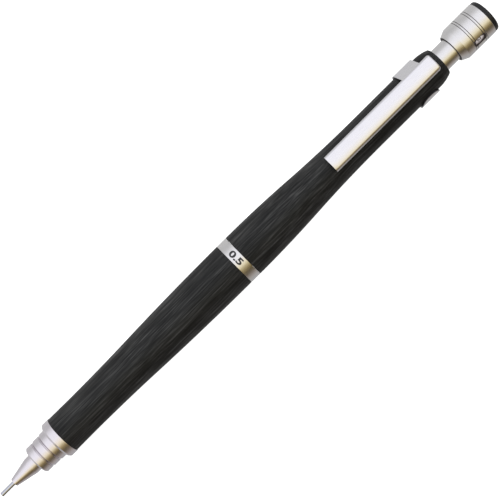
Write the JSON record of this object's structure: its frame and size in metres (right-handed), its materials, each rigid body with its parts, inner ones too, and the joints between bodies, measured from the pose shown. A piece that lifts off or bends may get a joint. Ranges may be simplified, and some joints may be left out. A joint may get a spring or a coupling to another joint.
{
  "type": "mechanical pencil",
  "caption": "Mechanical drafting pencil with a wooden barrel, ribbed metal nose, joint ring, pocket clip, sprung cap over an eraser, and a lead grade dial in the cap.",
  "frame": {"origin": "centre of the mouth of the lead sleeve, at the pencil's tip", "axes": "+X along the pencil's axis from the tip to the cap, +Z from the axis towards the clip, +Y across; the pencil lies on its side"},
  "size_m": [0.1463, 0.0106, 0.0117],
  "materials": {
    "wood_dark": "open-pored, dark stained, waxed",
    "metal_satin": "fine satin, turned",
    "steel_bright": "bright",
    "clip_steel": "satin plated",
    "brass": "turned",
    "spring_steel": "drawn wire",
    "plastic_black": "gloss moulded",
    "plastic_inner": "moulded",
    "dial_white": "satin moulded",
    "rubber_grey": "matte",
    "eraser_white": "matte",
    "graphite": "drawn lead"
  },
  "bodies": {
    "barrel": {"lead_sleeve": "steel_bright", "nose_cone": "metal_satin", "lead_retainer": "rubber_grey", "mechanism_housing": "metal_satin", "return_spring": "spring_steel", "grip_liner": "metal_satin", "front_grip": "wood_dark", "centre_ring": "metal_satin", "rear_liner": "metal_satin", "rear_barrel": "wood_dark", "rear_bush": "plastic_inner", "clip_band": "clip_steel"},
    "clip": {"clip_leaf": "clip_steel"},
    "knock": {"chuck": "brass", "lead_tube": "plastic_inner", "spare_leads": "graphite", "eraser_holder": "metal_satin", "eraser": "eraser_white"},
    "jaw_ring": {"chuck_ring": "brass"},
    "lead_in_use": {"lead": "graphite"},
    "cap": {"cap_shell": "metal_satin", "cap_liner": "plastic_inner"},
    "dial": {"grade_dial": "dial_white", "cap_plug": "plastic_black", "retaining_ring": "spring_steel"}
  },
  "joints": [
    {"name": "knock_push", "type": "slide", "parent": "barrel", "child": "knock", "axis": [-1, 0, 0], "range_m": [0, 0.003], "stiffness_N_per_m": 500, "springref_m": -0.001, "deforming": ["return_spring"]},
    {"name": "chuck_ring_slide", "type": "slide", "parent": "barrel", "child": "jaw_ring", "axis": [-1, 0, 0], "range_m": [0, 0.001]},
    {"name": "lead_feed", "type": "slide", "parent": "knock", "child": "lead_in_use", "axis": [-1, 0, 0], "range_m": [0, 0.009]},
    {"name": "cap_pull", "type": "slide", "parent": "knock", "child": "cap", "axis": [1, 0, 0], "range_m": [0, 0.02]},
    {"name": "dial_turn", "type": "hinge", "parent": "cap", "child": "dial", "pos_m": [0.142, 0, 0], "axis": [1, 0, 0], "continuous": true},
    {"name": "clip_flex", "type": "hinge", "parent": "barrel", "child": "clip", "pos_m": [0.12492, 0, 0.00556], "axis": [0, 1, 0], "range_deg": [0, 3], "stiffness_Nm_per_rad": 0.9}
  ],
  "couplings": [
    {"joint": "chuck_ring_slide", "follows": "knock_push", "ratio": 0.33333}
  ]
}
